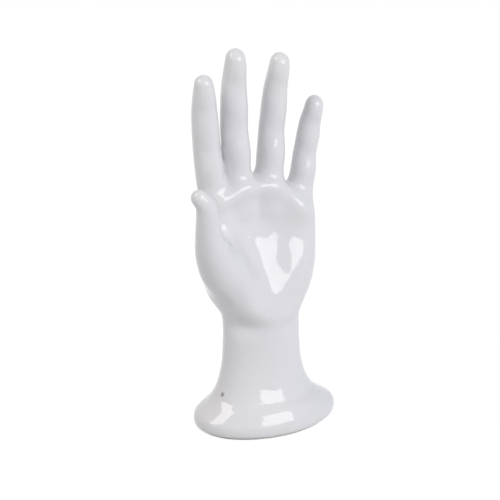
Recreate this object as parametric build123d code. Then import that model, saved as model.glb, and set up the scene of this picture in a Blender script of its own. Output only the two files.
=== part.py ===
from build123d import *
import math
import os
from typing import NamedTuple

# Display hand of glazed ceramic: an upright left hand, open, on a flared oval foot.
# Hand, wrist and foot are one hollow slip-cast shell. Sand poured in through a hole in the foot weighs it
# down, a soft rubber stopper closes that hole, and a felt pad is glued under the foot.
# Frame: +Z up, palm towards -Y, thumb towards -X, origin under the foot's centre, where the hand stands.

# Driving dimensions, in millimetres and degrees
FOOT_WIDTH = 99.6
FOOT_DEPTH = 70.0
FOOT_TURN = 3.0  # of the foot's oval about the upright, its little-finger end going back
FLARE_HEIGHT = 44.0  # from the underside of the ceramic to the straight part of the wrist
WRIST_WIDTH = 52.6
WRIST_DEPTH = 36.0
WRIST_LENGTH = 28.0  # from the flare to the crease under the heel of the hand
PALM_WIDTH = 79.2
PALM_DEPTH = 26.0
KNUCKLE_DEPTH = 21.0  # thickness of the hand where the fingers start
PALM_LENGTH = 93.0  # from the wrist crease to the highest web between the fingers
WRIST_OFFSET = -2.7  # of the wrist from the foot's centre, towards the thumb
PALM_OFFSET = -2.4  # of the palm's plate from the foot's centre, towards the thumb
PALM_SETBACK = 4.5  # of the palm's plate behind the foot's centre
FINGER_ADVANCE = 0.5  # of the fingers' roots in front of the palm's mid-plane
KNUCKLE_INSET = 9.0  # outer fingers' centrelines from the palm's edges
KNUCKLE_SINK = 18.0  # how far the fingers' roots are sunk below the webs
ROOT_COVER = 1.0  # least ceramic of the palm round a finger's sunk root
WEB_ARCH_RADIUS = 52.0  # arch that the webs lie on, seen from the palm
WALL = 4.5
FLOOR_THICKNESS = 7.0
CAVITY_ROOF_DEPTH = 24.0  # of the cavity's roof below the highest web
BALLAST_HEIGHT = 34.0
BALLAST_GAP = 0.3  # between the sand and the ceramic
POUR_HOLE_RADIUS = 8.0
STOPPER_CLEARANCE = 0.05
STOPPER_LIP = 2.6  # width of the stopper's flange beyond the pour hole
STOPPER_FLANGE_THICKNESS = 1.6
STOPPER_SEAT_GAP = 0.4  # round the flange in its counterbore
STOPPER_NOSE = 2.0  # length of the stopper beyond the floor, inside the shell
STOPPER_NOSE_TAPER = 1.2
STOPPER_POCKET_GAP = 0.5  # between the stopper's nose and the sand
PAD_THICKNESS = 1.5
PAD_MARGIN = 1.5  # of bare ceramic round the pad
PAD_HOLE_GAP = 1.0  # between the pad's hole and the stopper's counterbore


class Finger(NamedTuple):
    place: float  # of the root, from 0 at the index finger's side to 1 at the little finger's
    length: float  # from the sunk root to the tip
    lean: float  # towards +X
    bow: float  # sideways, at the middle
    drop: float  # of the root below the middle finger's
    web_radius: float
    middle_radius: float  # at the middle joint
    end_radius: float  # at the end joint
    tip_radius: float


class Pad(NamedTuple):
    across: float  # from the palm's centreline
    up: float  # from the wrist crease
    length: float  # from the middle to where the swelling fades
    width: float
    lean: float  # of the length, towards +X
    rise: float  # in front of the palm's plate, below 0 for a hollow


INDEX = Finger(
    place=-0.012,
    length=90.6,
    lean=-5.8,
    bow=0.0,
    drop=2.0,
    web_radius=8.85,
    middle_radius=8.7,
    end_radius=8.2,
    tip_radius=6.0,
)
MIDDLE = Finger(
    place=0.287,
    length=102.6,
    lean=-3.1,
    bow=-0.7,
    drop=0.0,
    web_radius=8.95,
    middle_radius=8.9,
    end_radius=8.3,
    tip_radius=6.2,
)
RING = Finger(
    place=0.622,
    length=99.2,
    lean=3.1,
    bow=-0.2,
    drop=2.0,
    web_radius=9.0,
    middle_radius=8.4,
    end_radius=7.9,
    tip_radius=6.0,
)
LITTLE = Finger(
    place=0.976,
    length=75.4,
    lean=6.9,
    bow=0.6,
    drop=8.0,
    web_radius=8.3,
    middle_radius=7.6,
    end_radius=7.2,
    tip_radius=5.6,
)
FINGER_SHARES = (0.0, 0.23, 0.52, 0.78, 1.0)  # of a finger's length, at its root, web, joints and tip
FINGER_BOW = 2.8  # of a finger's middle towards the back of the hand
FINGER_CURL = 3.4  # of a fingertip towards the palm

# Thumb: each station's distance in from the palm's thumb edge, its distance in front of the palm's
# mid-plane, its height above the wrist crease and its radius
THUMB = (
    (28.0, 3.0, 10.0, 8.8),
    (18.0, 9.0, 24.0, 13.0),
    (7.0, 15.5, 38.0, 14.4),
    (-0.8, 21.5, 52.0, 13.0),
    (-6.0, 26.0, 66.0, 10.0),
    (-8.5, 29.0, 79.0, 8.5),
    (-11.0, 30.0, 88.0, 7.0),
    (-16.2, 30.0, 94.0, 5.4),
)

THUMB_BALL = Pad(across=-28.0, up=31.0, length=26.0, width=15.0, lean=-34.0, rise=15.0)
THUMB_BALL_FOOT = Pad(across=-21.0, up=11.0, length=14.0, width=7.0, lean=90.0, rise=2.5)
THUMB_WEB = Pad(across=-28.0, up=54.0, length=18.0, width=9.0, lean=-25.0, rise=8.0)
HEEL = Pad(across=23.0, up=30.0, length=26.0, width=17.0, lean=24.0, rise=9.1)
HEEL_MIDDLE = Pad(across=-2.0, up=19.0, length=15.0, width=14.0, lean=0.0, rise=3.0)
WRIST_CREASE = Pad(across=-21.0, up=-2.0, length=14.0, width=5.5, lean=90.0, rise=-4.0)
INDEX_PAD = Pad(across=-30.0, up=PALM_LENGTH - 13.0, length=12.0, width=7.0, lean=70.0, rise=5.0)
MIDDLE_PAD = Pad(across=-12.0, up=PALM_LENGTH - 5.5, length=14.0, width=7.0, lean=88.0, rise=6.5)
RING_PAD = Pad(across=10.0, up=PALM_LENGTH - 7.0, length=12.0, width=7.0, lean=102.0, rise=6.5)
LITTLE_PAD = Pad(across=28.0, up=PALM_LENGTH - 22.0, length=12.0, width=13.0, lean=130.0, rise=7.5)
PALM_HOLLOW = Pad(across=-4.0, up=PALM_LENGTH - 28.5, length=26.0, width=24.0, lean=-6.0, rise=-5.7)
PADS = (
    THUMB_BALL,
    THUMB_BALL_FOOT,
    THUMB_WEB,
    HEEL,
    HEEL_MIDDLE,
    WRIST_CREASE,
    INDEX_PAD,
    MIDDLE_PAD,
    RING_PAD,
    LITTLE_PAD,
    PALM_HOLLOW,
)

# Foot and flare: share of the flare's height, share of the way from the wrist's size to the foot's
FLARE = (
    (0.0, 0.94),
    (0.045, 0.985),
    (0.12, 1.0),
    (0.19, 0.955),
    (0.27, 0.77),
    (0.36, 0.54),
    (0.47, 0.355),
    (0.61, 0.215),
    (0.77, 0.12),
    (1.0, 0.04),
)
# Hand's plate: share of the palm's length, share of the way from the wrist's size to the palm's, share of
# the way from the palm's depth to the knuckles', and the cross-section's exponent, where 2 is an ellipse
PLATE = (
    (-0.1, 0.0, 0.0, 2.0),
    (0.03, 0.08, 0.0, 2.0),
    (0.1, 0.34, 0.0, 2.1),
    (0.19, 0.72, 0.0, 2.3),
    (0.32, 0.96, 0.0, 2.5),
    (0.5, 1.0, 0.15, 2.7),
    (0.68, 1.0, 0.6, 2.8),
    (0.82, 1.0, 1.0, 2.8),
)
WEB_ANGLES = (19.5, 37.5, 53.5, 69.0)  # latitudes of the sections that round the plate over to the webs

SECTION_POINTS = 36
PLATE_STEPS = 2  # sections from one station of the plate to the next
LIMB_STEPS = 3  # and of a finger or the thumb
TIP_ANGLES = (28.0, 52.0, 72.0, 84.0)  # latitudes of the sections that round off a tip

# Heights and places that follow from the dimensions
FOOT_Z = PAD_THICKNESS
FLOOR_Z = FOOT_Z + FLOOR_THICKNESS
SEAT_Z = FOOT_Z + STOPPER_FLANGE_THICKNESS
WRIST_Z = FOOT_Z + FLARE_HEIGHT
CREASE_Z = WRIST_Z + WRIST_LENGTH
WEB_Z = CREASE_Z + PALM_LENGTH
THUMB_EDGE = PALM_OFFSET - PALM_WIDTH / 2
LITTLE_EDGE = PALM_OFFSET + PALM_WIDTH / 2
WEB_ARCH_X = PALM_OFFSET - KNUCKLE_INSET
FLANGE_RADIUS = POUR_HOLE_RADIUS + STOPPER_LIP
COUNTERBORE_RADIUS = FLANGE_RADIUS + STOPPER_SEAT_GAP


def mix(start, end, share):
    return start + (end - start) * share


def smooth(keys, steps):
    """Stations on a smooth curve through the keys, each a tuple of numbers."""
    stations = []
    for i in range(len(keys) - 1):
        four = (keys[max(i - 1, 0)], keys[i], keys[i + 1], keys[min(i + 2, len(keys) - 1)])
        for step in range(steps):
            t = step / steps
            weights = (
                (-t + 2 * t**2 - t**3) / 2,
                (2 - 5 * t**2 + 3 * t**3) / 2,
                (t + 4 * t**2 - 3 * t**3) / 2,
                (t**3 - t**2) / 2,
            )
            stations.append(tuple(sum(w * v for w, v in zip(weights, values)) for values in zip(*four)))
    return stations + [keys[-1]]


def under_arch(z, centre_x, half_width):
    """Centre and half width of the plate at a height, cut to the arch that the webs lie on."""
    reach = math.sqrt(2 * WEB_ARCH_RADIUS * (WEB_Z - z))
    left = max(centre_x - half_width, WEB_ARCH_X - reach)
    right = min(centre_x + half_width, WEB_ARCH_X + reach)
    return (left + right) / 2, (right - left) / 2


def trunk_stations():
    """Height, centre across and back, half width and depth, exponent, turn and share of the pads' rise."""
    stations = []
    for height, share in FLARE:
        z = FOOT_Z + FLARE_HEIGHT * height
        half_width = mix(WRIST_WIDTH, FOOT_WIDTH, share) / 2
        half_depth = mix(WRIST_DEPTH, FOOT_DEPTH, share) / 2
        stations.append((z, WRIST_OFFSET * (1 - share), 0, half_width, half_depth, 2, FOOT_TURN * share, 1))
    for height, share, thinning, exponent in smooth(PLATE, PLATE_STEPS):
        z = CREASE_Z + PALM_LENGTH * height
        half_depth = mix(mix(WRIST_DEPTH, PALM_DEPTH, share), KNUCKLE_DEPTH, thinning) / 2
        half_width = mix(WRIST_WIDTH, PALM_WIDTH, share) / 2
        centre_x, half_width = under_arch(z, mix(WRIST_OFFSET, PALM_OFFSET, share), half_width)
        stations.append((z, centre_x, PALM_SETBACK * share, half_width, half_depth, exponent, 0, 1))
    shoulder, exponent = PLATE[-1][0], PLATE[-1][-1]
    for angle in WEB_ANGLES:
        latitude = math.radians(angle)
        z = CREASE_Z + PALM_LENGTH * mix(shoulder, 1, math.sin(latitude))
        rounding = math.cos(latitude)
        centre_x, half_width = under_arch(z, PALM_OFFSET, PALM_WIDTH / 2)
        half_depth = KNUCKLE_DEPTH / 2 * rounding
        stations.append((z, centre_x, PALM_SETBACK, half_width, half_depth, exponent, 0, rounding))
    return stations


def station_at(z):
    """The trunk's station at a height."""
    stations = trunk_stations()
    for low, high in zip(stations, stations[1:]):
        if low[0] <= z <= high[0]:
            share = (z - low[0]) / (high[0] - low[0])
            return tuple(mix(a, b, share) for a, b in zip(low, high))
    raise ValueError(f"no station at height {z}")


def pad_height(x, z):
    """How far the palm's pads stand out in front of its plate at a place."""
    height = 0.0
    for pad in PADS:
        dx, dz = x - PALM_OFFSET - pad.across, z - CREASE_Z - pad.up
        c, s = math.cos(math.radians(pad.lean)), math.sin(math.radians(pad.lean))
        along, aside = dx * s + dz * c, dx * c - dz * s
        height += pad.rise * math.exp(-((along / pad.length) ** 2) - (aside / pad.width) ** 2)
    return height


def trunk_section(station, inset=0.0):
    """Closed cross-section at a station: a superellipse, with the palm's pads on its front half."""
    z, centre_x, centre_y, half_width, half_depth, exponent, turn, fullness = station
    points = []
    for i in range(SECTION_POINTS):
        angle = 2 * math.pi * i / SECTION_POINTS
        c, s = math.cos(angle), math.sin(angle)
        across = math.copysign(abs(c) ** (2 / exponent), c)
        back = math.copysign(abs(s) ** (2 / exponent), s)
        x = (half_width - inset) * across
        y = (half_depth - inset) * back
        if back < 0:
            y += back * fullness * pad_height(centre_x + x, z)
        points.append((x, y))
    return Pos(centre_x, centre_y, z) * Rot(0, 0, turn) * make_face(Spline(*points, periodic=True))


def trunk(stations, inset=0.0):
    """Foot, wrist and palm through these stations, drawn in by the inset."""
    return loft([trunk_section(station, inset) for station in stations])


def inside(inset, low, high):
    """What fits in the trunk between two heights, drawn in by the inset."""
    spacing = inset / 2  # least height from the floor or roof to the next section
    inner = [s for s in trunk_stations() if low + spacing < s[0] < high - spacing]
    return trunk([station_at(low), *inner, station_at(high)], inset)


def limb(keys):
    """Round limb through stations of x, y, z and radius, with a rounded tip at the last one."""
    stations = smooth(keys, LIMB_STEPS)
    rings = []
    for i, (x, y, z, radius) in enumerate(stations):
        before = Vector(*stations[max(i - 1, 0)][:3])
        after = Vector(*stations[min(i + 1, len(stations) - 1)][:3])
        rings.append((Vector(x, y, z), (after - before).normalized(), radius))
    centre, along, radius = rings[-1]
    for angle in TIP_ANGLES:
        rise = radius * math.sin(math.radians(angle))
        rings.append((centre + along * rise, along, radius * math.cos(math.radians(angle))))
    faces = []
    for centre, along, radius in rings:
        plane = Plane(centre, x_dir=Vector(1, 0, 0) - along * along.X, z_dir=along)
        faces.append(plane * Circle(radius))
    return loft(faces)


def finger(shape):
    root_x = mix(THUMB_EDGE + KNUCKLE_INSET, LITTLE_EDGE - KNUCKLE_INSET, shape.place)
    root_z = WEB_Z - KNUCKLE_SINK - shape.drop
    slope = math.radians(shape.lean)
    reach = shape.length - shape.tip_radius
    edge = min(root_x - THUMB_EDGE, LITTLE_EDGE - root_x)
    root_radius = min(edge, KNUCKLE_DEPTH / 2 - FINGER_ADVANCE, shape.web_radius) - ROOT_COVER
    radii = (root_radius, shape.web_radius, shape.middle_radius, shape.end_radius, shape.tip_radius)
    keys = []
    for share, radius in zip(FINGER_SHARES, radii):
        arch = 4 * share * (1 - share)
        x = root_x + reach * share * math.sin(slope) + shape.bow * arch
        y = PALM_SETBACK - FINGER_ADVANCE + FINGER_BOW * arch - FINGER_CURL * share**2
        keys.append((x, y, root_z + reach * share * math.cos(slope), radius))
    return limb(keys)


def thumb():
    return limb([(THUMB_EDGE + i, PALM_SETBACK - f, CREASE_Z + h, r) for i, f, h, r in THUMB])


def drum(radius, low, high):
    """Upright cylinder on the foot's axis between two heights."""
    return Pos(0, 0, low) * Cylinder(radius, high - low, align=(Align.CENTER, Align.CENTER, Align.MIN))


def make_hand_body():
    body = trunk(trunk_stations())
    body += thumb()
    for shape in (INDEX, MIDDLE, RING, LITTLE):
        body += finger(shape)
    body -= inside(WALL, FLOOR_Z, WEB_Z - CAVITY_ROOF_DEPTH)
    body -= drum(POUR_HOLE_RADIUS, FOOT_Z, FLOOR_Z)
    body -= drum(COUNTERBORE_RADIUS, FOOT_Z, SEAT_Z)
    return body


def make_sand_ballast():
    sand = inside(WALL + BALLAST_GAP, FLOOR_Z, WEB_Z - CAVITY_ROOF_DEPTH)
    sand &= drum(FOOT_WIDTH, FLOOR_Z, FLOOR_Z + BALLAST_HEIGHT)
    pocket_top = FLOOR_Z + STOPPER_NOSE + STOPPER_POCKET_GAP
    return sand - drum(POUR_HOLE_RADIUS + STOPPER_POCKET_GAP, FLOOR_Z, pocket_top)


def make_stopper():
    radius = POUR_HOLE_RADIUS - STOPPER_CLEARANCE
    nose = Pos(0, 0, FLOOR_Z) * Cone(
        radius,
        radius - STOPPER_NOSE_TAPER,
        STOPPER_NOSE,
        align=(Align.CENTER, Align.CENTER, Align.MIN),
    )
    return drum(FLANGE_RADIUS, FOOT_Z, SEAT_Z) + drum(radius, SEAT_Z, FLOOR_Z) + nose


def make_felt_pad():
    _, centre_x, centre_y, half_width, half_depth, _, turn, _ = station_at(FOOT_Z)
    oval = Ellipse(half_width - PAD_MARGIN, half_depth - PAD_MARGIN)
    oval = Pos(centre_x, centre_y) * Rot(0, 0, turn) * oval
    return extrude(oval, PAD_THICKNESS) - drum(COUNTERBORE_RADIUS + PAD_HOLE_GAP, 0, PAD_THICKNESS)


def main():
    os.makedirs("parts", exist_ok=True)
    nodes = {
        "hand_body": make_hand_body(),
        "sand_ballast": make_sand_ballast(),
        "pour_hole_stopper": make_stopper(),
        "felt_base_pad": make_felt_pad(),
    }
    for name, shape in nodes.items():
        export_step(shape, f"parts/{name}.step")


main()
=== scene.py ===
import math

import bmesh
import bpy
import numpy as np
import openvdb
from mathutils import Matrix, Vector


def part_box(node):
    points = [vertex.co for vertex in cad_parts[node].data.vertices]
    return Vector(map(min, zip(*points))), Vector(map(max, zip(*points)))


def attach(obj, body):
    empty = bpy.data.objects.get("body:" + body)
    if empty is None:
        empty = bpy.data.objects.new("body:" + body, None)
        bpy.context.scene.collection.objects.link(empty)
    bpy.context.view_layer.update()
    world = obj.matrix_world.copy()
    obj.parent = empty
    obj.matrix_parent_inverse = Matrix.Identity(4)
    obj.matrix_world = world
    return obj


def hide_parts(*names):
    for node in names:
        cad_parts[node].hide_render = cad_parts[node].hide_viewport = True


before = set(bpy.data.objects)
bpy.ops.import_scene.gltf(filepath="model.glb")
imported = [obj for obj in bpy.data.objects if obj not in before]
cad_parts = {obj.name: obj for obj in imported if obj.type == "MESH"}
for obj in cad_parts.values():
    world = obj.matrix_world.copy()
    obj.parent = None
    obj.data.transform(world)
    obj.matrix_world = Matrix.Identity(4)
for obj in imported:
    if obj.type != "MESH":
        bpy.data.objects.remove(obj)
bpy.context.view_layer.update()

# Display hand of glazed ceramic on a flared foot, with a felt pad and a rubber stopper underneath.
# The hand's shape repeats the solid's sizes, in millimetres and degrees, and adds what a glazed
# casting has on top: soft webs, creases, knuckles and nails. The scene itself is in metres.
MM = 0.001

# Foot, wrist and palm
FOOT_WIDTH = 99.6
FOOT_DEPTH = 70.0
FOOT_TURN = 3.0
FLARE_HEIGHT = 44.0
WRIST_WIDTH = 52.6
WRIST_DEPTH = 36.0
WRIST_LENGTH = 28.0
WRIST_OFFSET = -2.7  # of its centre from the foot's, across
PALM_WIDTH = 79.2
PALM_DEPTH = 26.0
PALM_LENGTH = 93.0
PALM_OFFSET = -2.4
PALM_SETBACK = 4.5  # of its mid-plane behind the foot's
KNUCKLE_DEPTH = 21.0
KNUCKLE_INSET = 9.0  # of the outer fingers' roots from the palm's edges
KNUCKLE_SINK = 18.0  # of the fingers' roots below the webs
WEB_ARCH_RADIUS = 52.0
# Flare: height as a share of its own, and how far it is from the wrist's size to the foot's,
# all round and in front
FLARE = (
    (0.0, 0.94, 0.94),
    (0.045, 0.985, 0.985),
    (0.12, 1.0, 1.0),
    (0.19, 0.955, 0.965),
    (0.27, 0.77, 0.876),
    (0.36, 0.54, 0.747),
    (0.44, 0.4, 0.437),
    (0.49, 0.332, 0.382),
    (0.61, 0.215, 0.24),
    (0.77, 0.12, 0.125),
    (1.0, 0.04, 0.04),
)
FLARE_EXPONENT = 2.0  # of a plain oval
# Palm: height as a share of its length, how far it is from the wrist's size to the palm's, how far
# it is from there to the knuckles' depth, and the exponent of its oval
PLATE = (
    (-0.1, 0.0, 0.0, 2.0),
    (0.03, 0.08, 0.0, 2.0),
    (0.1, 0.34, 0.0, 2.1),
    (0.19, 0.72, 0.0, 2.3),
    (0.32, 0.96, 0.0, 2.5),
    (0.5, 1.0, 0.15, 2.7),
    (0.68, 1.0, 0.6, 2.8),
    (0.82, 1.0, 1.0, 2.8),
)
# Pads and hollows: across from the palm's centreline, up from the wrist crease, half length,
# half width, lean and rise
PALM_PADS = (
    (-28.0, 31.0, 26.0, 15.0, -34.0, 15.0),
    (-21.0, 11.0, 14.0, 7.0, 90.0, 2.5),
    (-28.0, 54.0, 18.0, 9.0, -25.0, 8.0),
    (23.0, 30.0, 26.0, 17.0, 24.0, 9.1),
    (-2.0, 19.0, 15.0, 14.0, 0.0, 3.0),
    (-21.0, -2.0, 14.0, 5.5, 90.0, -4.0),
    (-30.0, 82.0, 12.0, 7.0, 70.0, 5.0),
    (-12.0, 90.5, 14.0, 8.3, 88.0, 5.7),
    (10.0, 89.0, 12.0, 8.3, 100.0, 5.7),
    (19.0, 79.0, 12.0, 10.0, 105.0, 2.5),
    (30.0, 71.0, 12.0, 13.0, 130.0, 6.6),
    (19.0, -3.0, 13.0, 5.0, 90.0, -2.2),
    (-4.0, 66.5, 26.0, 24.0, -6.0, -5.7),
)

# Each finger: place across the knuckles, length from its sunk root, lean, sideways bow, drop of its
# root, and radii at these shares of its length
FINGER_SHARES = (0.0, 0.23, 0.52, 0.78, 1.0)
FINGERS = {
    "index": (-0.012, 90.6, -5.8, 0.0, 2.0, (7.3, 8.85, 8.7, 8.2, 6.0)),
    "middle": (0.287, 102.6, -3.1, -0.7, 0.0, (7.95, 8.95, 8.9, 8.3, 6.2)),
    "ring": (0.622, 99.2, 3.1, -0.2, 2.0, (8.0, 9.0, 8.4, 7.9, 6.0)),
    "little": (0.976, 75.4, 6.9, 0.6, 8.0, (7.3, 8.3, 7.6, 7.2, 5.6)),
}
FINGER_ADVANCE = 0.5  # of the fingers' roots in front of the palm's mid-plane
FINGER_BOW = 2.8  # backwards
FINGER_CURL = 3.4  # forwards at the tip
# Thumb: distance in from the palm's edge, in front of its mid-plane, above the wrist crease, and radius
THUMB = (
    (28.0, 3.0, 10.0, 8.8),
    (18.0, 9.0, 24.0, 13.0),
    (7.0, 15.5, 38.0, 14.4),
    (-1.9, 21.0, 52.0, 12.0),
    (-7.6, 25.5, 66.0, 8.8),
    (-9.8, 28.5, 79.0, 7.5),
    (-11.6, 30.0, 88.0, 6.6),
    (-16.2, 30.0, 94.0, 5.4),
)

# Hollow, pour hole, stopper and felt pad
WALL = 4.5
FLOOR_THICKNESS = 7.0
CAVITY_ROOF_DEPTH = 24.0  # below the webs
POUR_HOLE_RADIUS = 8.0
COUNTERBORE_RADIUS = 11.0
FLANGE_RADIUS = 10.6
FLANGE_THICKNESS = 1.6
FLANGE_ROUNDING = 0.4
STOPPER_RADIUS = 7.95
STOPPER_ROUNDING = 0.3
NOSE_LENGTH = 2.0
NOSE_TAPER = 1.2
NOSE_BLEND = 0.4
FLANGE_BLEND = 0.5
RIB_HEIGHTS = (3.6, 5.8)  # of the sealing ribs above the foot's underside
RIB_DEPTH = 0.3  # from the shank to a rib's crest
RIB_RADIUS = 0.55
RIB_BLEND = 0.3
POCKET_RADIUS = 6.2
POCKET_DEPTH = 3.4
POCKET_OVERRUN = 2.0  # of the pockets' cut below the stopper
POCKET_ROUNDING = 0.5
POCKET_BLEND = 0.5
PULL_BAR_WIDTH = 3.2  # between the two pockets
PULL_BAR_BLEND = 0.6
PAD_MARGIN = 1.5
PAD_HOLE_RADIUS = 12.0
FELT_POINTS = 240
FELT_ROWS = 22
FELT_WOBBLE = 0.12
FELT_WAVES = ((7, 0), (17, 1), (31, 2))  # round its edges: how many, and where they start
FELT_ROUNDING = 0.45
FELT_NAP = 0.05
FELT_NAP_PITCH = (1.9, 1.3)  # radians for each millimetre across and along
FELT_NAP_SWAY = 2.0

# Levels and edges that follow from these sizes
FOOT_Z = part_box("hand_body")[0].z / MM
FLOOR_Z = FOOT_Z + FLOOR_THICKNESS
SEAT_Z = FOOT_Z + FLANGE_THICKNESS
CREASE_Z = FOOT_Z + FLARE_HEIGHT + WRIST_LENGTH
WEB_Z = CREASE_Z + PALM_LENGTH
THUMB_EDGE = PALM_OFFSET - PALM_WIDTH / 2
LITTLE_EDGE = PALM_OFFSET + PALM_WIDTH / 2
ARCH_CROWN = PALM_OFFSET - KNUCKLE_INSET  # of the line of the webs, across

# Palm side of the fingers: each pad's share of the finger's length, its half length as a share,
# and its rise
FINGER_PADS = ((0.37, 0.165, 2.2), (0.66, 0.15, 1.3), (0.945, 0.125, 1.2))
FINGER_PAD_SINK = 0.6  # of the joints between the pads
SINK_START = (0.18, 0.34)  # shares of the length over which the sink comes in
SINK_END = (0.8, 0.92)  # and goes out
PALM_FALLOFF = 1.5  # how sharply the pads fade towards a finger's sides
FINGER_FULLNESS = {"index": 0.6, "middle": 1.08, "ring": 1.06, "little": 0.82}
JOINT_SHIFTS = {"index": -0.03, "middle": 0.0, "ring": 0.0, "little": 0.0}  # as shares of the length
FINGER_EDGE = (1.25, 1.6)  # distances from its axis, in radii, over which a finger's relief ends
# Back of the fingers and of the hand
FINGER_KNUCKLES = ((0.53, 0.075, 0.6), (0.82, 0.05, 0.35))
BACK_FALLOFF = 2.0
HAND_KNUCKLE_RISE = 0.9  # at the fingers' roots
HAND_KNUCKLE_RADIUS = 8.0
TENDON_RISE = 0.3  # from those knuckles towards the wrist
TENDON_WIDTH = 2.6
TENDON_END = (-2.5, 92.0)  # across and up
BACK_OF_HAND = (2.0, 9.0)  # distances behind the foot's mid-plane over which its relief comes in
# Nails: place and half length as shares of the finger's length, and half width in finger radii
NAIL_SHARE = 0.935
NAIL_HALF_LENGTH = 0.07
NAIL_HALF_WIDTH = 0.68
NAIL_SQUARENESS = 4
NAIL_RISE = 0.3
NAIL_EDGE = (0.86, 1.0)  # over which the nail ends, with 1 at its edge
NAIL_GROOVE = 0.22
NAIL_GROOVE_PLACE = 1.06
NAIL_GROOVE_WIDTH = 0.14
NAIL_FACING = (0.1, 0.4)  # how far the surface faces back where nails come in
# Wrinkles where the thumb's web meets its ball: depth, and places across and up on the palm side
WRINKLE_WIDTH = 0.4
WRINKLES = (
    (0.17, ((-45.6, 143.3), (-38.0, 136.5), (-30.3, 130.5), (-27.5, 125.5))),
    (0.14, ((-47.5, 141.2), (-45.9, 135.7), (-44.5, 130.8))),
    (0.15, ((-42.9, 138.5), (-38.7, 132.9), (-36.2, 129.6))),
    (0.1, ((-41.2, 131.3), (-38.8, 127.5), (-36.4, 124.2))),
    (0.07, ((-36.4, 129.1), (-32.6, 123.0), (-28.9, 116.3), (-24.0, 107.8), (-19.7, 98.5))),
)
PALM_FADE = 2.0  # how soon wrinkles and drop are whole as the surface turns to the palm side
# Drop of glaze in the palm, dark chip over the foot, and the glaze's uneven flow
DROP = (-12.6, 128.6)
DROP_RADIUS = 1.3
DROP_RISE = 0.8
CHIP_PLACE = (-33.7, -5.8, 25.3)
CHIP_RADIUS = 1.4
CHIP_FADE = 1.9  # radii at which the chip ends, its raggedness included
WAVE_LENGTH = 15.0
WAVE_HEIGHT = 0.03
# Waves: how fast each goes across, back and up, and where it starts
BROAD_WAVE = (1.0, 0.0, 0.6, 1.0)
CROSSING_WAVE = (0.0, -0.5, 0.8, 0.0)
FINE_WAVE = (1.7, 1.0, -1.3, 0.0)
POOLING = 0.9  # how strongly the glaze's tone follows the bend of the surface
EVEN_TONE = 0.5  # between thin and pooled, where the surface is flat
BARE_EDGE = (0.15, 0.6)  # heights above the foot's underside over which the glaze begins

# Meshing of the shapes
TRUNK_STEPS = 8  # between two stations
LIMB_STEPS = 6
VOXEL = 0.8
STOPPER_VOXEL = 0.25
HAND_MARGIN = 4.0  # of empty space round a shape in its grid
STOPPER_MARGIN = 1.0
FAR = 20.0  # distance beyond which limbs aren't worked out
BLUR = 1.1  # in voxels, how far the glaze rounds everything
BLUR_REACH = 3
WEB_BLEND = 7.0
THUMB_BLEND = 7.5
ARCH_BLEND = 12.0
RIM_BLEND = 1.6
EDGE_BLEND = 0.9
FINE_RELIEF = 0.002  # height from which sharp relief gets a finer mesh
FINE_CUTS = 2  # in each edge of that mesh
SETTLING_STEPS = 4  # that bring the vertices onto the surface
NUDGE = 0.05  # step for the relief's slopes
# Least values that keep divisions away from zero
LEAST_STEEPNESS = 1e-3
LEAST_SLOPE_SQUARED = 0.05
LEAST_REACH = 1e-6

# Colours, as linear light
THIN_GLAZE = (0.79, 0.78, 0.77, 1)
POOLED_GLAZE = (0.74, 0.74, 0.76, 1)
CLOUDED_GLAZE = (0.76, 0.755, 0.765, 1)
CHIP_GREY = (0.32, 0.32, 0.29, 1)
BARE_CLAY = (0.62, 0.56, 0.48, 1)
PALE_CLAY = (0.72, 0.68, 0.61, 1)
FELT_DARK = (0.50, 0.485, 0.45, 1)
FELT_LIGHT = (0.70, 0.69, 0.66, 1)
FELT_GREY = (0.56, 0.56, 0.55, 1)
RUBBER = (0.24, 0.24, 0.235, 1)
RUBBER_BLOOM = (0.31, 0.31, 0.305, 1)
SAND_DARK = (0.28, 0.21, 0.13, 1)
SAND_LIGHT = (0.53, 0.43, 0.30, 1)
SAND_RED = (0.38, 0.24, 0.15, 1)
WHITE = (1, 1, 1, 1)
THUMB_SIDE_LIGHT = (0.08, 0.06, 0.045, 1)
LITTLE_SIDE_LIGHT = (0.22, 0.27, 0.38, 1)
BACK_LIGHT = (0.97, 0.97, 1.0, 1)
FRONT_LIGHT = (0.64, 0.645, 0.7, 1)
FLOOR_CARD = (0.65, 0.65, 0.65, 1)
FLOOR_SHADED = (0.14, 0.14, 0.14, 1)
FLOOR_GLOW = (0.92, 0.92, 0.92, 1)

# Camera: the photograph's angle, and a lens that gives its perspective
CAMERA_AZIMUTH = -27.0
CAMERA_ELEVATION = 19.0
CAMERA_DISTANCE = 1100.0
CAMERA_TARGET = (-10.8, 0.0, 119.0)
CAMERA_LENS = 123.95
CAMERA_SENSOR = 36.0
LIT_POINT = (0.0, 0.0, 120.0)  # that the softboxes face
FLOOR_HALF_SIZE = 6000.0


def mix(start, end, share):
    return start + (end - start) * share


def smooth(keys, steps):
    """Rows on a smooth curve through the keys."""
    keys = np.asarray(keys, float)
    last = len(keys) - 1
    rows = []
    for i in range(last):
        before, start, end, after = (keys[min(max(i + k, 0), last)] for k in (-1, 0, 1, 2))
        square = 2 * before - 5 * start + 4 * end - after
        cube = 3 * start - before - 3 * end + after
        for t in np.arange(steps) / steps:
            turn = square * t**2 + cube * t**3
            rows.append((2 * start + (end - before) * t + turn) / 2)
    return np.array(rows + [keys[-1]])


def smooth_min(a, b, width):
    """Lesser of two fields, rounded where they are within the width of each other."""
    closeness = np.maximum(width - np.abs(a - b), 0) / width
    return np.minimum(a, b) - closeness * closeness * width / 4


def smooth_max(a, b, width):
    return -smooth_min(-a, -b, width)


def bump(offset):
    """Round bump of height 1 over offsets from -1 to 1."""
    return np.cos(np.clip(offset, -1, 1) * math.pi / 2) ** 2


def hill(offset):
    """Hill of height 1 that is down to about a third at an offset of 1."""
    return np.exp(-(offset**2))


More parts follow.
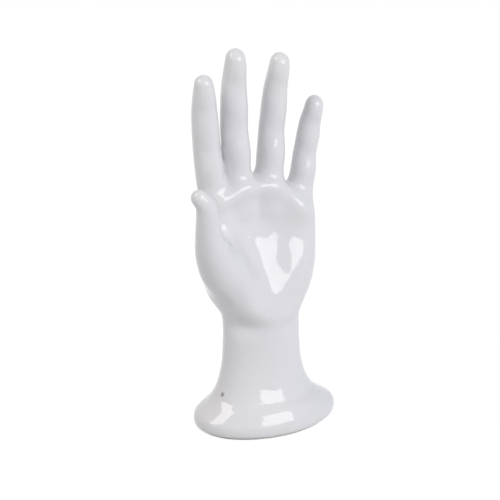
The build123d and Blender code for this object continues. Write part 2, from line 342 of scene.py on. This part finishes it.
def ramp(start, end, value):
    """0 before the start, 1 past the end, and smooth between them."""
    share = np.clip((value - start) / (end - start), 0, 1)
    return share * share * (3 - 2 * share)


def trunk_stations():
    """Stations up the foot, wrist and palm.

    Each has its height, its centre across and back, its half width, its half depths behind and in
    front, the exponent of its oval, and its turn.
    """
    rows = []
    for height, share, front_share in FLARE:
        z = FOOT_Z + FLARE_HEIGHT * height
        centre_x = WRIST_OFFSET * (1 - share)
        half_width = mix(WRIST_WIDTH, FOOT_WIDTH, share) / 2
        behind = mix(WRIST_DEPTH, FOOT_DEPTH, share) / 2
        front = mix(WRIST_DEPTH, FOOT_DEPTH, front_share) / 2
        turn = math.radians(FOOT_TURN) * share
        rows.append((z, centre_x, 0, half_width, behind, front, FLARE_EXPONENT, turn))
    for height, share, thinning, exponent in PLATE:
        z = CREASE_Z + PALM_LENGTH * height
        centre_x = mix(WRIST_OFFSET, PALM_OFFSET, share)
        centre_y = PALM_SETBACK * share
        half_width = mix(WRIST_WIDTH, PALM_WIDTH, share) / 2
        half_depth = mix(mix(WRIST_DEPTH, PALM_DEPTH, share), KNUCKLE_DEPTH, thinning) / 2
        rows.append((z, centre_x, centre_y, half_width, half_depth, half_depth, exponent, 0))
    return smooth(rows, TRUNK_STEPS)


def palm_swelling(x, z):
    """Summed height of the pads and hollows over the palm's plate."""
    height = 0.0
    for across, up, length, width, lean, rise in PALM_PADS:
        dx = x - PALM_OFFSET - across
        dz = z - CREASE_Z - up
        cosine = math.cos(math.radians(lean))
        sine = math.sin(math.radians(lean))
        along = dx * sine + dz * cosine
        aside = dx * cosine - dz * sine
        height = height + rise * np.exp(-((along / length) ** 2) - (aside / width) ** 2)
    return height


def finger_stations(name):
    """Places and radii along a finger."""
    place, length, lean, bow, drop, radii = FINGERS[name]
    root_x = mix(THUMB_EDGE + KNUCKLE_INSET, LITTLE_EDGE - KNUCKLE_INSET, place)
    root_y = PALM_SETBACK - FINGER_ADVANCE
    root_z = WEB_Z - KNUCKLE_SINK - drop
    slope = math.radians(lean)
    reach = length - radii[-1]
    keys = []
    for share, radius in zip(FINGER_SHARES, radii):
        arch = 4 * share * (1 - share)
        x = root_x + reach * share * math.sin(slope) + bow * arch
        y = root_y + FINGER_BOW * arch - FINGER_CURL * share**2
        z = root_z + reach * share * math.cos(slope)
        keys.append((x, y, z, radius))
    return smooth(keys, LIMB_STEPS)


def thumb_stations():
    """Places and radii along the thumb."""
    keys = []
    for inward, forward, up, radius in THUMB:
        keys.append((THUMB_EDGE + inward, PALM_SETBACK - forward, CREASE_Z + up, radius))
    return smooth(keys, LIMB_STEPS)


class Shape:
    """Signed distances in millimetres, on a grid of voxels."""

    def __init__(self, low, high, voxel):
        self.voxel = voxel
        self.low = np.array(low, float)
        x, y, z = (np.arange(a, b + voxel, voxel, dtype=np.float32) for a, b in zip(low, high))
        self.axes = (x, y, z)
        self.size = (len(x), len(y), len(z))
        self.x, self.y, self.z = self.spread_out(x, y, z)
        self.radial = np.sqrt(self.x**2 + self.y**2)

    @staticmethod
    def spread_out(x, y, z):
        """Three rows of numbers, laid along the grid's three directions."""
        return x[:, None, None], y[None, :, None], z[None, None, :]

    def trunk(self, inset=0.0):
        """Foot, wrist and palm, drawn in by the inset."""
        heights, *columns = trunk_stations().T
        levels = (np.interp(self.axes[2], heights, c).astype(np.float32) for c in columns)
        centre_x, centre_y, width, behind, front, power, turn = levels
        x = self.x - centre_x
        y = self.y - centre_y
        front = front + palm_swelling(self.x, self.z).astype(np.float32)
        depth = np.where(y < 0, front, behind) - inset
        across = np.abs(x * np.cos(turn) + y * np.sin(turn)) / (width - inset)
        back = np.abs(y * np.cos(turn) - x * np.sin(turn)) / depth
        ratio = (across**power + back**power) ** (1 / power)
        steepness = np.sqrt(sum(s * s for s in self.slopes(ratio)))
        return (ratio - 1) / np.maximum(steepness, LEAST_STEEPNESS)

    def limb(self, stations):
        """Round limb through stations of place and radius."""
        field = np.full(self.size, FAR, np.float32)
        for start, end in zip(stations, stations[1:]):
            step = end[:3] - start[:3]
            reach = max(start[3], end[3]) + FAR
            low = np.minimum(start, end)[:3] - reach
            high = np.maximum(start, end)[:3] + reach
            spans = zip(self.axes, low, high)
            part = tuple(slice(*np.searchsorted(axis, (a, b))) for axis, a, b in spans)
            offset = self.spread_out(*(a[s] - c for a, s, c in zip(self.axes, part, start)))
            along = np.clip(sum(o * d for o, d in zip(offset, step)) / (step @ step), 0, 1)
            away = np.sqrt(sum((o - along * d) ** 2 for o, d in zip(offset, step)))
            field[part] = np.minimum(field[part], away - mix(start[3], end[3], along))
        return field

    def drum(self, radius, low, high, rounding):
        """Upright cylinder on the foot's axis with rounded edges."""
        aside = self.radial - radius + rounding
        upright = np.maximum(low - self.z, self.z - high) + rounding
        outside = np.hypot(np.maximum(aside, 0), np.maximum(upright, 0))
        return outside + np.minimum(np.maximum(aside, upright), 0) - rounding

    def slopes(self, field):
        return np.gradient(field, self.voxel)

    def curvature(self, field):
        """How sharply a field's surfaces bend: above 0 where they stand out, below 0 where they sink."""
        bends = (np.gradient(s, self.voxel, axis=axis) for axis, s in enumerate(self.slopes(field)))
        return self.blurred(sum(bends))

    def blurred(self, field):
        weights = np.exp(-0.5 * (np.arange(-BLUR_REACH, BLUR_REACH + 1) / BLUR) ** 2)
        weights /= weights.sum()
        for axis, count in enumerate(field.shape):
            border = [(0, 0)] * 3
            border[axis] = (BLUR_REACH, BLUR_REACH)
            wide = np.pad(field, border, mode="edge")
            field = sum(w * np.take(wide, range(i, i + count), axis) for i, w in enumerate(weights))
        return field.astype(np.float32)

    def at(self, field, points):
        """Values of a field at points, interpolated between the grid's corners."""
        place = (points - self.low) / self.voxel
        corner = np.clip(place.astype(int), 0, np.array(self.size) - 2)
        share = place - corner
        total = 0.0
        for step in np.ndindex(2, 2, 2):
            weight = np.prod(np.where(step, share, 1 - share), axis=1)
            i, j, k = (corner + step).T
            total = total + weight * field[i, j, k]
        return total


def hand_field(shape):
    """The hollow hand with its pour hole."""
    aside = (shape.x - ARCH_CROWN) / WEB_ARCH_RADIUS
    arch = (shape.z - WEB_Z + WEB_ARCH_RADIUS * aside**2 / 2) / np.sqrt(1 + aside**2)
    hand = smooth_max(shape.trunk(), arch, ARCH_BLEND)
    hand = smooth_min(hand, shape.limb(thumb_stations()), THUMB_BLEND)
    fingers = np.full(shape.size, FAR, np.float32)
    for name in FINGERS:
        fingers = np.minimum(fingers, shape.limb(finger_stations(name)))
    hand = smooth_min(hand, fingers, WEB_BLEND)
    hand = smooth_max(hand, FOOT_Z - shape.z, RIM_BLEND)
    hand = shape.blurred(hand)
    roof_z = WEB_Z - CAVITY_ROOF_DEPTH
    cavity = np.maximum(shape.trunk(WALL), np.maximum(FLOOR_Z - shape.z, shape.z - roof_z))
    hole = np.maximum(shape.radial - POUR_HOLE_RADIUS, shape.z - FLOOR_Z - VOXEL)
    counterbore = np.maximum(shape.radial - COUNTERBORE_RADIUS, shape.z - SEAT_Z)
    for gone in (cavity, hole, counterbore):
        hand = smooth_max(hand, -gone, EDGE_BLEND)
    return hand.astype(np.float32)


def stopper_field(shape, top):
    """Stopper with a flange, sealing ribs, and two pockets underneath that leave a bar to pull it by."""
    flange = shape.drum(FLANGE_RADIUS, FOOT_Z, SEAT_Z, FLANGE_ROUNDING)
    shank = shape.drum(STOPPER_RADIUS - RIB_DEPTH, FOOT_Z, top, STOPPER_ROUNDING)
    taper = shape.radial - STOPPER_RADIUS + NOSE_TAPER / NOSE_LENGTH * (shape.z - FLOOR_Z)
    shank = smooth_max(shank, taper, NOSE_BLEND)
    stopper = smooth_min(flange, shank, FLANGE_BLEND)
    for height in RIB_HEIGHTS:
        rib = np.hypot(shape.radial - STOPPER_RADIUS + RIB_RADIUS, shape.z - FOOT_Z - height)
        stopper = smooth_min(stopper, rib - RIB_RADIUS, RIB_BLEND)
    low, high = FOOT_Z - POCKET_OVERRUN, FOOT_Z + POCKET_DEPTH
    pockets = shape.drum(POCKET_RADIUS, low, high, POCKET_ROUNDING)
    pockets = smooth_max(pockets, PULL_BAR_WIDTH / 2 - np.abs(shape.y), PULL_BAR_BLEND)
    return smooth_max(stopper, -pockets, POCKET_BLEND).astype(np.float32)


def distance_to_path(x, z, path):
    nearest = np.full(len(x), FAR)
    for (x0, z0), (x1, z1) in zip(path, path[1:]):
        dx, dz = x1 - x0, z1 - z0
        share = np.clip(((x - x0) * dx + (z - z0) * dz) / (dx * dx + dz * dz), 0, 1)
        nearest = np.minimum(nearest, np.hypot(x - x0 - share * dx, z - z0 - share * dz))
    return nearest


class FingerPlaces:
    """Where points lie on a finger.

    Each has its share of the finger's length, how far it is aside of the axis and behind it in radii,
    how far it faces back, and whether it is near the finger at all.
    """

    def __init__(self, name, points):
        stations = finger_stations(name)
        heights = stations[:, 2]
        x, y, z = points.T
        axis_x, axis_y, radius = (np.interp(z, heights, stations[:, k]) for k in (0, 1, 3))
        self.share = (z - heights[0]) / (heights[-1] - heights[0]) - JOINT_SHIFTS[name]
        self.aside = (x - axis_x) / radius
        behind = (y - axis_y) / radius
        reach = np.maximum(np.hypot(self.aside, behind), LEAST_REACH)
        self.facing = behind / reach
        self.near = 1 - ramp(*FINGER_EDGE, reach)


def bumps_along(rows, share):
    return sum(rise * bump((share - middle) / half) for middle, half, rise in rows)


def finger_relief(name, points):
    """Height of a finger's pads on the palm side and of its knuckles on the back."""
    place = FingerPlaces(name, points)
    sunk = ramp(*SINK_START, place.share) * (1 - ramp(*SINK_END, place.share))
    palm = bumps_along(FINGER_PADS, place.share) - FINGER_PAD_SINK * sunk
    palm = FINGER_FULLNESS[name] * palm * np.clip(-place.facing, 0, 1) ** PALM_FALLOFF
    back = bumps_along(FINGER_KNUCKLES, place.share) * np.clip(place.facing, 0, 1) ** BACK_FALLOFF
    return place.near * (palm + back)


def tendon_relief(name, points):
    """Height of the knuckle at a finger's root and of the tendon that runs on to the wrist."""
    x, y, z = points.T
    root_x, _, root_z, _ = finger_stations(name)[0]
    knuckle = np.hypot(x - root_x, z - root_z)
    tendon = distance_to_path(x, z, ((root_x, root_z), TENDON_END))
    height = TENDON_RISE * ramp(TENDON_END[1], root_z, z) * hill(tendon / TENDON_WIDTH)
    height = height + HAND_KNUCKLE_RISE * hill(knuckle / HAND_KNUCKLE_RADIUS)
    return height * ramp(*BACK_OF_HAND, y)


def nail_relief(name, points):
    """Height of a finger's nail, with a groove round it."""
    place = FingerPlaces(name, points)
    along = (place.share - NAIL_SHARE) / NAIL_HALF_LENGTH
    across = place.aside / NAIL_HALF_WIDTH
    edge = (along**NAIL_SQUARENESS + across**NAIL_SQUARENESS) ** (1 / NAIL_SQUARENESS)
    plate = NAIL_RISE * (1 - ramp(*NAIL_EDGE, edge))
    groove = NAIL_GROOVE * bump((edge - NAIL_GROOVE_PLACE) / NAIL_GROOVE_WIDTH)
    return place.near * ramp(*NAIL_FACING, place.facing) * (plate - groove)


def glaze_waves(points):
    """Height of the glaze's uneven flow."""
    angles = points * 2 * math.pi / WAVE_LENGTH
    waves = (np.sin(angles @ wave[:3] + wave[3]) for wave in (BROAD_WAVE, CROSSING_WAVE, FINE_WAVE))
    broad, crossing, fine = waves
    return WAVE_HEIGHT * (broad * crossing + fine / 2)


def sharp_relief(points, facing):
    """Height of nails, wrinkles and the drop of glaze; facing is below 0 towards the palm side."""
    x, _, z = points.T
    palm = np.clip(-PALM_FADE * facing, 0, 1)
    height = DROP_RISE * hill(np.hypot(x - DROP[0], z - DROP[1]) / DROP_RADIUS)
    for depth, path in WRINKLES:
        height = height - depth * hill(distance_to_path(x, z, path) / WRINKLE_WIDTH)
    return palm * height + sum(nail_relief(name, points) for name in FINGERS)


def hand_relief(points, facing):
    """Height of all the relief on the hand."""
    height = glaze_waves(points) + sharp_relief(points, facing)
    for name in FINGERS:
        height = height + finger_relief(name, points) + tendon_relief(name, points)
    return height


def refine(mesh, chosen):
    """Splits the chosen faces of a mesh, and gives its vertices."""
    edit = bmesh.new()
    edit.from_mesh(mesh)
    edit.faces.ensure_lookup_table()
    edges = {edge for i in np.flatnonzero(chosen) for edge in edit.faces[i].edges}
    bmesh.ops.subdivide_edges(edit, edges=list(edges), cuts=FINE_CUTS, use_grid_fill=True)
    edit.to_mesh(mesh)
    edit.free()
    points = np.empty(3 * len(mesh.vertices))
    mesh.vertices.foreach_get("co", points)
    return points.reshape(-1, 3)


def mesh_of(shape, field, name, relief=None, sharp=None):
    """Mesh in metres of a field's zero surface with relief on it, and its vertices in millimetres."""
    slopes = shape.slopes(field)

    def slope_at(points):
        return np.stack([shape.at(s, points) for s in slopes], 1)

    def facing_of(slope):
        return slope[:, 1] / np.linalg.norm(slope, axis=1)

    grid = openvdb.FloatGrid(FAR)
    grid.copyFromArray(field)
    points, quads = grid.convertToQuads(0.0)
    points = points.astype(float) * shape.voxel + shape.low
    mesh = bpy.data.meshes.new(name)
    mesh.from_pydata(points.tolist(), [], quads.tolist())
    if sharp:
        centres = points[quads].mean(1)
        height = sharp(centres, facing_of(slope_at(centres)))
        points = refine(mesh, np.abs(height) > FINE_RELIEF)
    for _ in range(SETTLING_STEPS):
        value = shape.at(field, points)
        slope = slope_at(points)
        if relief:
            facing = facing_of(slope)
            height = relief(points, facing)
            value = value - height
            for axis, direction in enumerate(np.eye(3)):
                slope[:, axis] -= (relief(points + NUDGE * direction, facing) - height) / NUDGE
        step = value / np.maximum((slope**2).sum(1), LEAST_SLOPE_SQUARED)
        points = points - slope * step[:, None]
    mesh.vertices.foreach_set("co", (points * MM).ravel())
    mesh.polygons.foreach_set("use_smooth", [True] * len(mesh.polygons))
    mesh.update()
    mesh.normals_split_custom_set_from_vertices(slope / np.linalg.norm(slope, axis=1)[:, None])
    return mesh, points


def add_object(name, data):
    obj = bpy.data.objects.new(name, data)
    bpy.context.scene.collection.objects.link(obj)
    return obj


def add_piece(name, mesh, material, body, node):
    """Piece of the part that stands for a node of the solid model."""
    piece = add_object(name, mesh)
    mesh.materials.append(material)
    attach(piece, body)
    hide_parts(node)
    return piece


class Tree:
    """Short ways to add and link a node tree's nodes."""

    def __init__(self, owner):
        owner.use_nodes = True
        self.owner = owner
        self.nodes = owner.node_tree.nodes
        self.links = owner.node_tree.links

    def put(self, value, socket):
        if isinstance(value, bpy.types.NodeSocket):
            self.links.new(value, socket)
        else:
            socket.default_value = value

    def add(self, kind, inputs=(), **settings):
        node = self.nodes.new("ShaderNode" + kind)
        for name, value in settings.items():
            setattr(node, name, value)
        for name, value in dict(inputs).items():
            self.put(value, node.inputs[name])
        return node

    def blend(self, factor, start, end):
        """Colour that goes from start to end as the factor goes from 0 to 1."""
        node = self.add("Mix", data_type="RGBA")
        sockets = {socket.identifier: socket for socket in (*node.inputs, *node.outputs)}
        for name, value in (("Factor_Float", factor), ("A_Color", start), ("B_Color", end)):
            self.put(value, sockets[name])
        return sockets["Result_Color"]

    def spread(self, value, low, high, start=0.0, end=1.0):
        """Number that goes from start to end as the value goes from low to high, and no further."""
        inputs = {"Value": value, "From Min": low, "From Max": high, "To Min": start, "To Max": end}
        return self.add("MapRange", inputs).outputs["Result"]

    def maths(self, operation, first, second):
        return self.add("Math", {0: first, 1: second}, operation=operation).outputs[0]

    def place(self):
        return self.add("TexCoord").outputs["Object"]

    def noise(self, scale, detail=2.0, roughness=0.5, distortion=0.0):
        inputs = {"Scale": scale, "Detail": detail, "Roughness": roughness, "Distortion": distortion}
        return self.add("TexNoise", {"Vector": self.place(), **inputs}).outputs["Fac"]

    def bump(self, height, strength, distance):
        inputs = {"Height": height, "Strength": strength, "Distance": distance}
        return self.add("Bump", inputs).outputs["Normal"]

    def shade(self, **inputs):
        """Sets the Principled shader's sockets, named with underscores for spaces."""
        for name, value in inputs.items():
            self.put(value, self.nodes["Principled BSDF"].inputs[name.replace("_", " ")])


def glaze_material():
    """White glaze, bluer where it pools, warmer where it runs thin, with bare clay under the foot."""
    tree = Tree(bpy.data.materials.new("white_glaze"))
    pool = tree.add("Attribute", attribute_name="pool").outputs["Fac"]
    glaze = tree.blend(pool, THIN_GLAZE, POOLED_GLAZE)
    clouds = tree.spread(tree.noise(scale=28, detail=3), 0.35, 0.7, start=0, end=0.5)
    glaze = tree.blend(clouds, glaze, CLOUDED_GLAZE)
    radius = CHIP_RADIUS * MM
    centre = [c * MM for c in CHIP_PLACE]
    offset = tree.add("VectorMath", {0: tree.place(), 1: centre}, operation="DISTANCE")
    ragged = tree.maths("MULTIPLY", tree.noise(scale=1800), radius)
    ragged = tree.maths("ADD", offset.outputs["Value"], ragged)
    chip = tree.spread(ragged, radius, CHIP_FADE * radius, start=1, end=0)
    glaze = tree.blend(chip, glaze, CHIP_GREY)
    height = tree.add("SeparateXYZ", {"Vector": tree.place()}).outputs["Z"]
    low, high = ((FOOT_Z + edge) * MM for edge in BARE_EDGE)
    bare = tree.spread(height, low, high, start=1, end=0)
    clay = tree.blend(tree.noise(scale=900, detail=4), BARE_CLAY, PALE_CLAY)
    tree.shade(
        Base_Color=tree.blend(bare, glaze, clay),
        Roughness=tree.spread(bare, 0, 1, start=0.07, end=0.8),
        IOR=1.5,
        Normal=tree.bump(tree.noise(scale=420), strength=0.15, distance=0.03 * MM),
    )
    return tree.owner


def felt_material():
    """Pale pressed felt: short fibres every way, in slightly different tones."""
    tree = Tree(bpy.data.materials.new("felt"))
    fibres = tree.noise(scale=900, detail=6, distortion=1.5)
    tone = tree.blend(tree.spread(fibres, 0.35, 0.65), FELT_DARK, FELT_LIGHT)
    patches = tree.spread(tree.noise(scale=60, detail=3), 0.4, 0.7, start=0, end=0.35)
    tree.shade(
        Base_Color=tree.blend(patches, tone, FELT_GREY),
        Roughness=0.95,
        Sheen_Weight=0.35,
        Normal=tree.bump(fibres, strength=0.7, distance=0.3 * MM),
    )
    return tree.owner


def rubber_material():
    """Soft grey rubber with a faint bloom."""
    tree = Tree(bpy.data.materials.new("grey_rubber"))
    bloom = tree.noise(scale=240, detail=4, roughness=0.6)
    grain = tree.noise(scale=2600, detail=3)
    tree.shade(
        Base_Color=tree.blend(tree.spread(bloom, 0.4, 0.7), RUBBER, RUBBER_BLOOM),
        Roughness=tree.spread(bloom, 0.3, 0.7, start=0.42, end=0.6),
        Normal=tree.bump(grain, strength=0.3, distance=0.05 * MM),
    )
    return tree.owner


def sand_material():
    """Dry sand: grains of several tones."""
    tree = Tree(bpy.data.materials.new("sand"))
    grains = tree.add("TexVoronoi", {"Vector": tree.place(), "Scale": 1900}).outputs
    lightness = tree.add("SeparateColor", {"Color": grains["Color"]}).outputs["Red"]
    tone = tree.blend(lightness, SAND_DARK, SAND_LIGHT)
    patches = tree.spread(tree.noise(scale=300, detail=3), 0.45, 0.7, start=0, end=0.5)
    tree.shade(
        Base_Color=tree.blend(patches, tone, SAND_RED),
        Roughness=0.9,
        Normal=tree.bump(grains["Distance"], strength=0.8, distance=0.3 * MM),
    )
    return tree.owner


def make_hand():
    low, high = (np.array(corner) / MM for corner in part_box("hand_body"))
    shape = Shape(low - HAND_MARGIN, high + HAND_MARGIN, VOXEL)
    field = hand_field(shape)
    mesh, points = mesh_of(shape, field, "glazed_hand", hand_relief, sharp_relief)
    bend = shape.at(shape.curvature(field), points)
    pool = np.clip(EVEN_TONE - POOLING * bend, 0, 1)
    mesh.attributes.new("pool", "FLOAT", "POINT").data.foreach_set("value", pool)
    add_piece("glazed_hand", mesh, glaze_material(), "hand", "hand_body")


def make_stopper():
    low, high = (np.array(corner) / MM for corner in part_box("pour_hole_stopper"))
    shape = Shape(low - STOPPER_MARGIN, high + STOPPER_MARGIN, STOPPER_VOXEL)
    mesh, _ = mesh_of(shape, stopper_field(shape, high[2]), "rubber_stopper")
    material = rubber_material()
    add_piece("rubber_stopper", mesh, material, "stopper", "pour_hole_stopper")


def felt_edges(half_width, half_depth, share):
    """Outer edge and hole of the felt, both a little uneven, in the place and turn that the foot has."""
    angle = np.linspace(0, 2 * math.pi, FELT_POINTS, endpoint=False)
    waves = sum(np.sin(count * angle + start) for count, start in FELT_WAVES)
    wobble = FELT_WOBBLE * waves / len(FELT_WAVES)
    x = (half_width + wobble) * np.cos(angle)
    y = (half_depth + wobble) * np.sin(angle)
    turn = math.radians(FOOT_TURN) * share
    cosine = math.cos(turn)
    sine = math.sin(turn)
    outer_x = x * cosine - y * sine + WRIST_OFFSET * (1 - share)
    outer = np.stack([outer_x, x * sine + y * cosine], 1)
    hole = np.stack([np.cos(angle), np.sin(angle)], 1) * (PAD_HOLE_RADIUS + wobble)[:, None]
    return outer, hole


def felt_rings(outer, hole):
    """Closed rows of points, over the top from the outer edge to the hole and back underneath."""
    width = np.linalg.norm(outer - hole, axis=1)
    shares = np.linspace(0, 1, FELT_ROWS)
    across, along = FELT_NAP_PITCH
    rings = []
    for top, row in ((True, shares), (False, shares[::-1][1:-1])):
        for share in row:
            x, y = mix(outer, hole, share).T
            edge = np.clip(np.minimum(share, 1 - share) * width / FELT_ROUNDING, 0, 1)
            worn = FELT_ROUNDING * (1 - np.sqrt(1 - (1 - edge) ** 2))
            nap = FELT_NAP * (1 + np.sin(across * x + FELT_NAP_SWAY * np.sin(along * y))) / 2
            height = FOOT_Z - worn if top else np.minimum(worn + nap, FOOT_Z)
            rings.append(np.column_stack([x, y, height]))
    return rings


def make_felt():
    """Oval of felt with a hole, die-cut, its edges a little uneven and rounded by wear."""
    share = FLARE[0][1]
    half_width = mix(WRIST_WIDTH, FOOT_WIDTH, share) / 2 - PAD_MARGIN
    half_depth = mix(WRIST_DEPTH, FOOT_DEPTH, share) / 2 - PAD_MARGIN
    rings = felt_rings(*felt_edges(half_width, half_depth, share))
    faces = []
    for i in range(len(rings)):
        here = i * FELT_POINTS
        there = (i + 1) % len(rings) * FELT_POINTS
        for j in range(FELT_POINTS):
            k = (j + 1) % FELT_POINTS
            faces.append((here + j, here + k, there + k, there + j))
    mesh = bpy.data.meshes.new("felt_pad")
    mesh.from_pydata((np.concatenate(rings) * MM).tolist(), [], faces)
    mesh.polygons.foreach_set("use_smooth", [True] * len(mesh.polygons))
    mesh.update()
    felt = add_piece("felt_pad", mesh, felt_material(), "hand", "felt_base_pad")


def dress_sand():
    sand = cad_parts["sand_ballast"].data
    sand.materials.clear()
    sand.materials.append(sand_material())


def face_point(obj, azimuth, elevation, distance, point):
    """Puts a camera or lamp at a distance from a point, facing it.

    The azimuth is measured from the palm's side towards the little finger.
    """
    azimuth = math.radians(azimuth)
    elevation = math.radians(elevation)
    level = math.cos(elevation)
    away = Vector((math.sin(azimuth) * level, -math.cos(azimuth) * level, math.sin(elevation)))
    obj.location = (Vector(point) + away * distance) * MM
    obj.rotation_euler = away.to_track_quat("Z", "Y").to_euler()


def make_camera():
    data = bpy.data.cameras.new("camera")
    data.lens = CAMERA_LENS
    data.sensor_width = CAMERA_SENSOR
    camera = add_object("camera", data)
    face_point(camera, CAMERA_AZIMUTH, CAMERA_ELEVATION, CAMERA_DISTANCE, CAMERA_TARGET)
    bpy.context.scene.camera = camera


def add_softbox(name, azimuth, elevation, distance, width, height, power, colour):
    data = bpy.data.lights.new(name, "AREA")
    data.shape = "RECTANGLE"
    data.size = width * MM
    data.size_y = height * MM
    data.energy = power
    data.color = colour
    face_point(add_object(name, data), azimuth, elevation, distance, LIT_POINT)


def make_lamps():
    """Large softbox in front, and a small warm one on the thumb's side."""
    add_softbox(
        "softbox_front", azimuth=17, elevation=25, distance=3200,
        width=2300, height=1680, power=51, colour=(1, 1, 1),
    )
    add_softbox(
        "softbox_left", azimuth=-100, elevation=45, distance=1500,
        width=600, height=800, power=6.5, colour=(1, 0.96, 0.91),
    )


def seen(tree):
    """1 for what the camera, a reflection or glass sees, and 0 for light on a surface."""
    path = tree.add("LightPath").outputs
    value = path["Is Camera Ray"]
    for other in ("Is Glossy Ray", "Is Transmission Ray"):
        value = tree.maths("MAXIMUM", value, path[other])
    return value


def make_world():
    """White to look at, and soft light: brightest from behind, dim and warm from the thumb's side."""
    world = Tree(bpy.data.worlds.new("studio"))
    bpy.context.scene.world = world.owner
    direction = world.add("TexCoord").outputs["Generated"]
    axes = world.add("SeparateXYZ", {"Vector": direction}).outputs
    light = world.blend(world.spread(axes["X"], -1, 1), THUMB_SIDE_LIGHT, LITTLE_SIDE_LIGHT)
    light = world.blend(world.spread(axes["Y"], 0, 1), light, BACK_LIGHT)
    light = world.blend(world.spread(axes["Y"], 0, -1), light, FRONT_LIGHT)
    world.put(world.blend(seen(world), light, WHITE), world.nodes["Background"].inputs["Color"])


def make_floor():
    """Floor that looks white, keeps a soft shadow and throws light back like pale card."""
    tree = Tree(bpy.data.materials.new("floor"))
    card = tree.add("BsdfDiffuse", {"Color": FLOOR_CARD}).outputs[0]
    shaded = tree.add("BsdfDiffuse", {"Color": FLOOR_SHADED}).outputs[0]
    glow = tree.add("Emission", {"Color": FLOOR_GLOW}).outputs[0]
    white = tree.add("AddShader", {0: shaded, 1: glow}).outputs[0]
    look = tree.add("MixShader", {0: seen(tree), 1: card, 2: white}).outputs[0]
    tree.put(look, tree.nodes["Material Output"].inputs["Surface"])
    half = FLOOR_HALF_SIZE * MM
    corners = [(-half, -half, 0), (half, -half, 0), (half, half, 0), (-half, half, 0)]
    floor = add_object("floor", bpy.data.meshes.new("floor"))
    floor.data.from_pydata(corners, [], [(0, 1, 2, 3)])
    floor.data.materials.append(tree.owner)


make_hand()
make_felt()
make_stopper()
dress_sand()
make_camera()
make_world()
make_floor()
make_lamps()
bpy.context.scene.view_settings.view_transform = "Standard"
